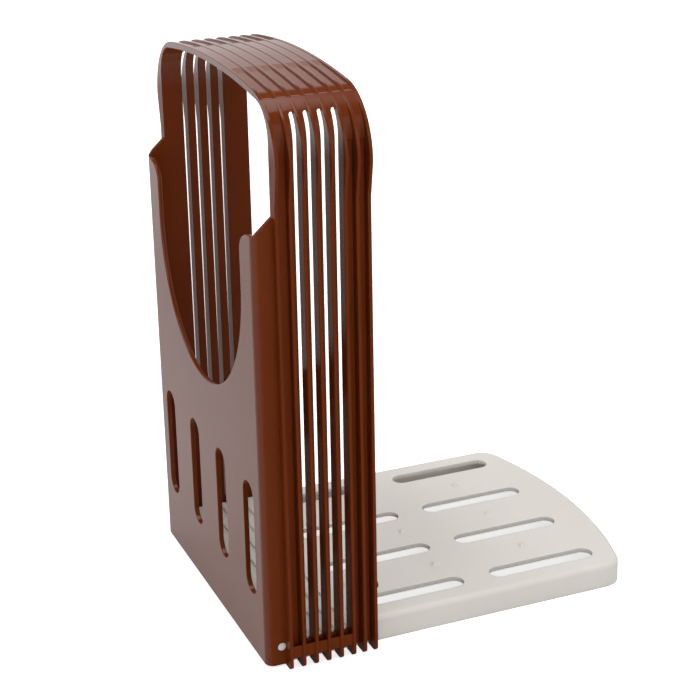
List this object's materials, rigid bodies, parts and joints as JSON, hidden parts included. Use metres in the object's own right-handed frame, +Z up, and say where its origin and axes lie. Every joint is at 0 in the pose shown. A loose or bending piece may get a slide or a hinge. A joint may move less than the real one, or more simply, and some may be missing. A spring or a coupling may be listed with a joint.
{
  "type": "folding bread slicing guide",
  "caption": "Folding bread slicing guide: a ribbed arch with knife slots in both side walls and a stop panel, hinged to a slotted board that swings up into the arch for storage.",
  "frame": {"origin": "centre of the footprint on the table, at the level of the feet", "axes": "+Z up, the stop panel faces -Y, the unfolded board reaches towards +Y, +X is the width"},
  "size_m": [0.159, 0.194, 0.2588],
  "materials": {
    "guide_plastic": "semi-gloss brown moulding",
    "board_plastic": "satin warm off-white moulding",
    "pin_plastic": "satin warm off-white"
  },
  "bodies": {
    "guide": {"guide_frame": "guide_plastic"},
    "board": {"base_board": "board_plastic", "hinge_pin_right": "pin_plastic", "hinge_pin_left": "pin_plastic"}
  },
  "joints": [
    {"name": "board_fold", "type": "hinge", "parent": "guide", "child": "board", "pos_m": [0, -0.09, 0.0097], "axis": [1, 0, 0], "range_deg": [0, 90]}
  ]
}
